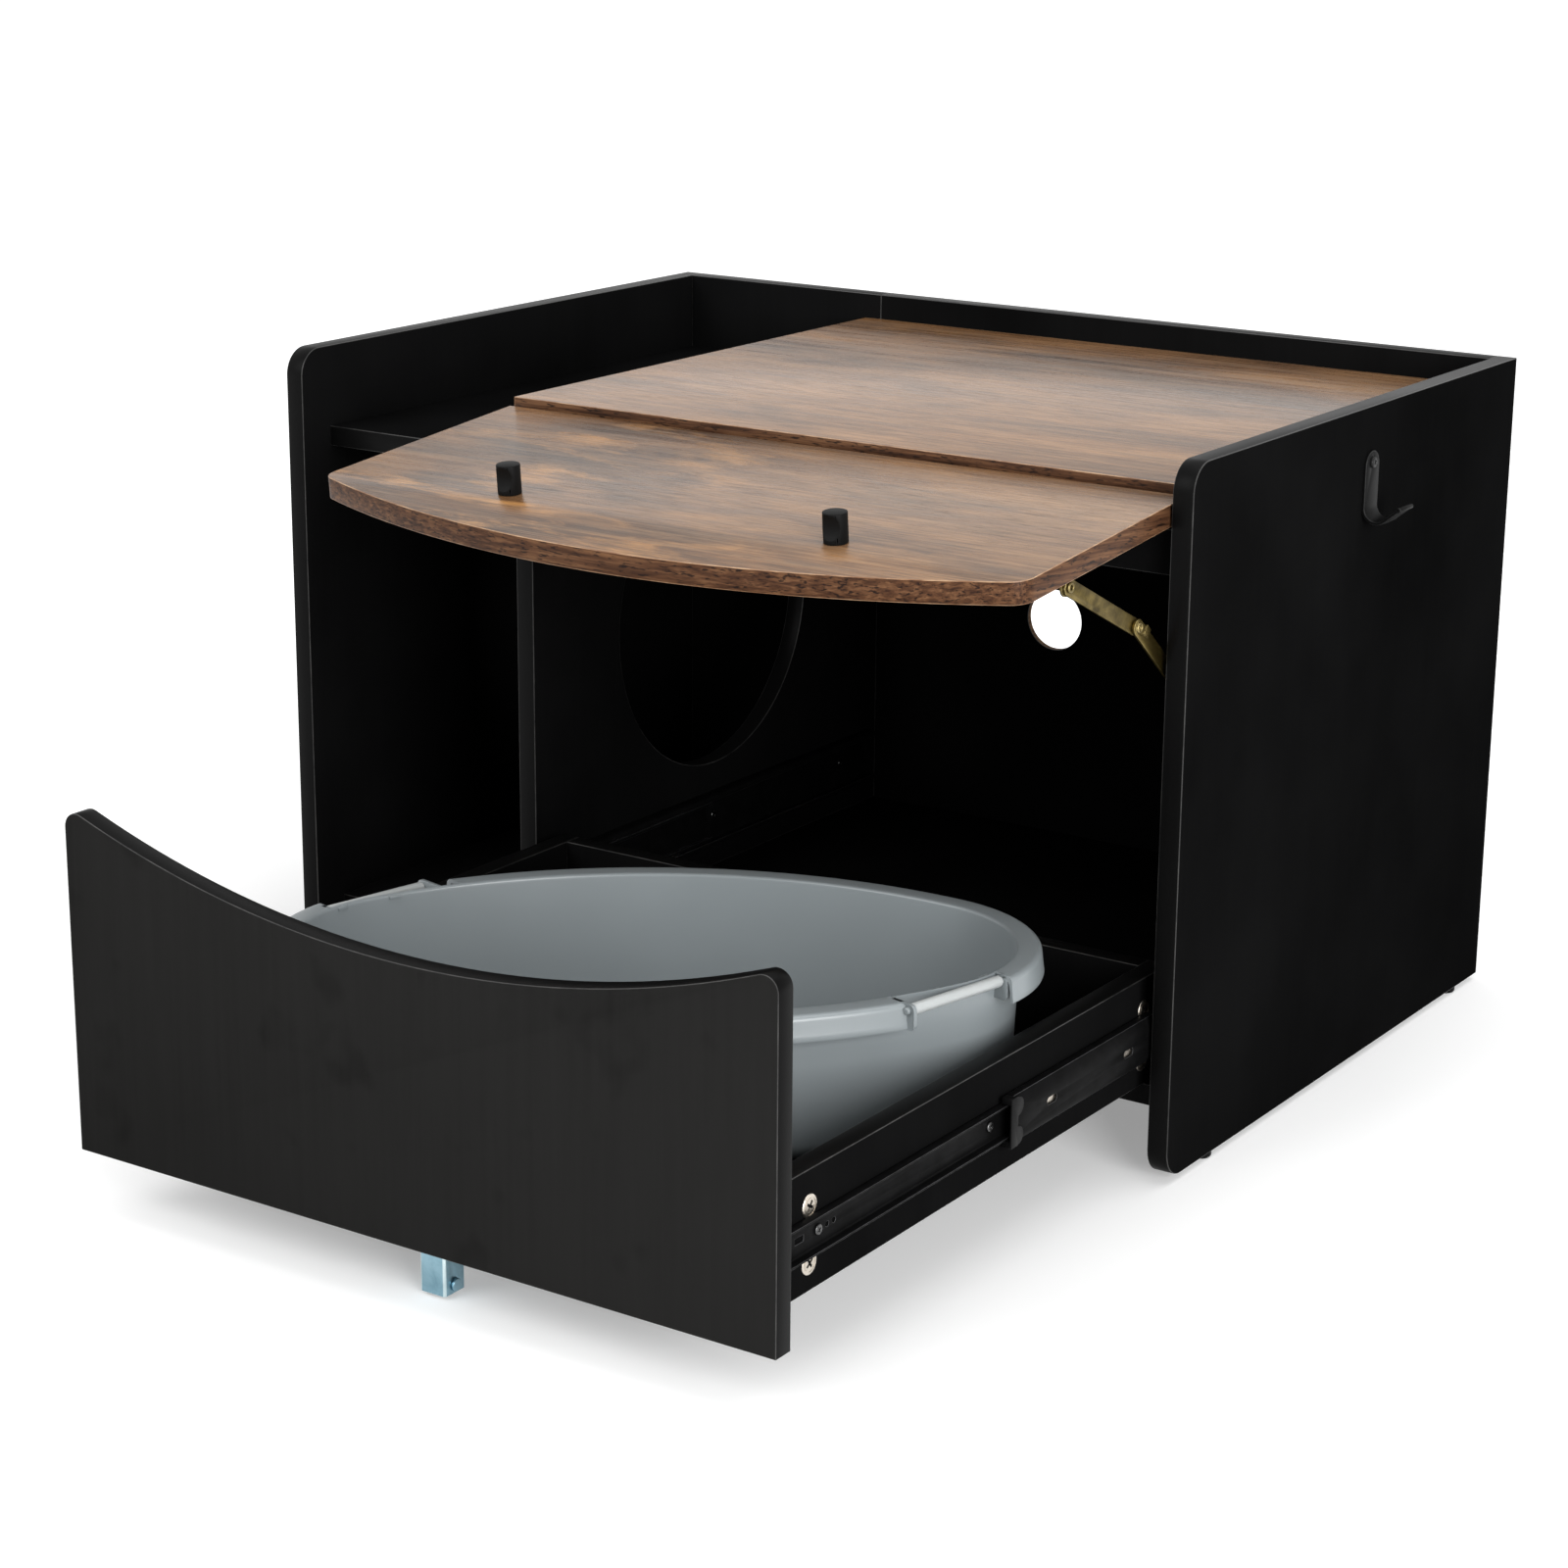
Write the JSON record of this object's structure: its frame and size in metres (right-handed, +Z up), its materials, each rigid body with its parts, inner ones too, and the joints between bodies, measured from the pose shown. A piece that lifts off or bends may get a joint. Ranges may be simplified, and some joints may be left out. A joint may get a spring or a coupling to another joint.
{
  "type": "drawer litter box",
  "caption": "Board cabinet with a pull-out drawer that holds an oval litter pan, a lift-up flap on a folding stay, a round pet entrance, an open side bay and a hook.",
  "frame": {"origin": "on the floor under the middle of the open box's bounding box", "axes": "+Z up, +Y to the back, +X to the right as seen from the drawer front"},
  "size_m": [0.7874, 0.95, 0.489],
  "materials": {
    "black_board": "matt black foil on board",
    "brown_board": "rustic brown wood-grain foil on board",
    "black_steel": "black coated steel",
    "black_plastic": "matt black plastic",
    "grey_plastic": "smooth grey plastic, pale",
    "nickel": "nickel plated",
    "zinc": "blue zinc plated steel",
    "antique_brass": "antique brass plated, mottled",
    "black_paint": "black powder coat",
    "hinge_steel": "dark plated steel"
  },
  "bodies": {
    "cabinet": {"left_side_panel": "black_board", "right_side_panel": "black_board", "partition": "black_board", "top_panel": "brown_board", "left_shelf": "black_board", "floor_panel": "black_board", "left_back_panel": "black_board", "right_back_panel": "black_board", "front_rail": "black_board", "glide_feet": "black_plastic", "strap_hook": "black_paint", "hook_screw": "black_paint", "slide_outer_left": "black_steel", "slide_outer_right": "black_steel", "slide_screws_cabinet": "nickel", "hinge_fixed_leaves": "hinge_steel", "stay_fixed_bracket": "antique_brass"},
    "slide_middle_left": {"slide_middle_left": "black_steel", "slide_clip_left": "black_plastic", "ball_cages_left": "nickel"},
    "slide_middle_right": {"slide_middle_right": "black_steel", "slide_clip_right": "black_plastic", "ball_cages_right": "nickel"},
    "drawer": {"drawer_front": "black_board", "drawer_side_left": "black_board", "drawer_side_right": "black_board", "drawer_back": "black_board", "drawer_bottom": "black_board", "cam_locks": "nickel", "slide_inner_left": "black_steel", "slide_inner_right": "black_steel", "slide_screws_drawer": "nickel", "support_leg": "zinc", "leg_axle": "zinc"},
    "roller": {"leg_roller": "black_plastic"},
    "pan": {"litter_pan": "grey_plastic", "pan_latch_rods": "grey_plastic"},
    "flap": {"flap": "brown_board", "knob_left": "black_paint", "knob_right": "black_paint", "hinge_moving_leaves": "hinge_steel", "hinge_pins": "hinge_steel", "stay_flap_bracket": "antique_brass"},
    "stay_upper": {"stay_upper_arm": "antique_brass"},
    "stay_lower": {"stay_lower_arm": "antique_brass"}
  },
  "joints": [
    {"name": "drawer_slide", "type": "slide", "parent": "cabinet", "child": "drawer", "axis": [0, 1, 0], "range_m": [0, 0.451]},
    {"name": "left_slide_extension", "type": "slide", "parent": "cabinet", "child": "slide_middle_left", "axis": [0, 1, 0], "range_m": [0, 0.2256]},
    {"name": "right_slide_extension", "type": "slide", "parent": "cabinet", "child": "slide_middle_right", "axis": [0, 1, 0], "range_m": [0, 0.2256]},
    {"name": "flap_hinge", "type": "hinge", "parent": "cabinet", "child": "flap", "pos_m": [0.07502, -0.02152, 0.445], "axis": [1, 0, 0], "range_deg": [0, 84.8]},
    {"name": "stay_upper_pivot", "type": "hinge", "parent": "flap", "child": "stay_upper", "pos_m": [0.34172, -0.15496, 0.42944], "axis": [1, 0, 0], "range_deg": [-107.88, 0]},
    {"name": "stay_lower_pivot", "type": "hinge", "parent": "cabinet", "child": "stay_lower", "pos_m": [0.34402, 0.00468, 0.3255], "axis": [1, 0, 0], "range_deg": [0, 155.19]},
    {"name": "roller_spin", "type": "hinge", "parent": "drawer", "child": "roller", "pos_m": [0.07502, -0.43998, 0.008], "axis": [1, 0, 0], "continuous": true},
    {"name": "pan_lift", "type": "slide", "parent": "drawer", "child": "pan", "axis": [0, 0, 1], "range_m": [0, 0.08]}
  ],
  "couplings": [
    {"joint": "left_slide_extension", "follows": "drawer_slide", "ratio": 0.5},
    {"joint": "right_slide_extension", "follows": "drawer_slide", "ratio": 0.5},
    {"joint": "stay_upper_pivot", "follows": "flap_hinge", "ratio": -1.271},
    {"joint": "stay_lower_pivot", "follows": "flap_hinge", "ratio": 1.829}
  ]
}
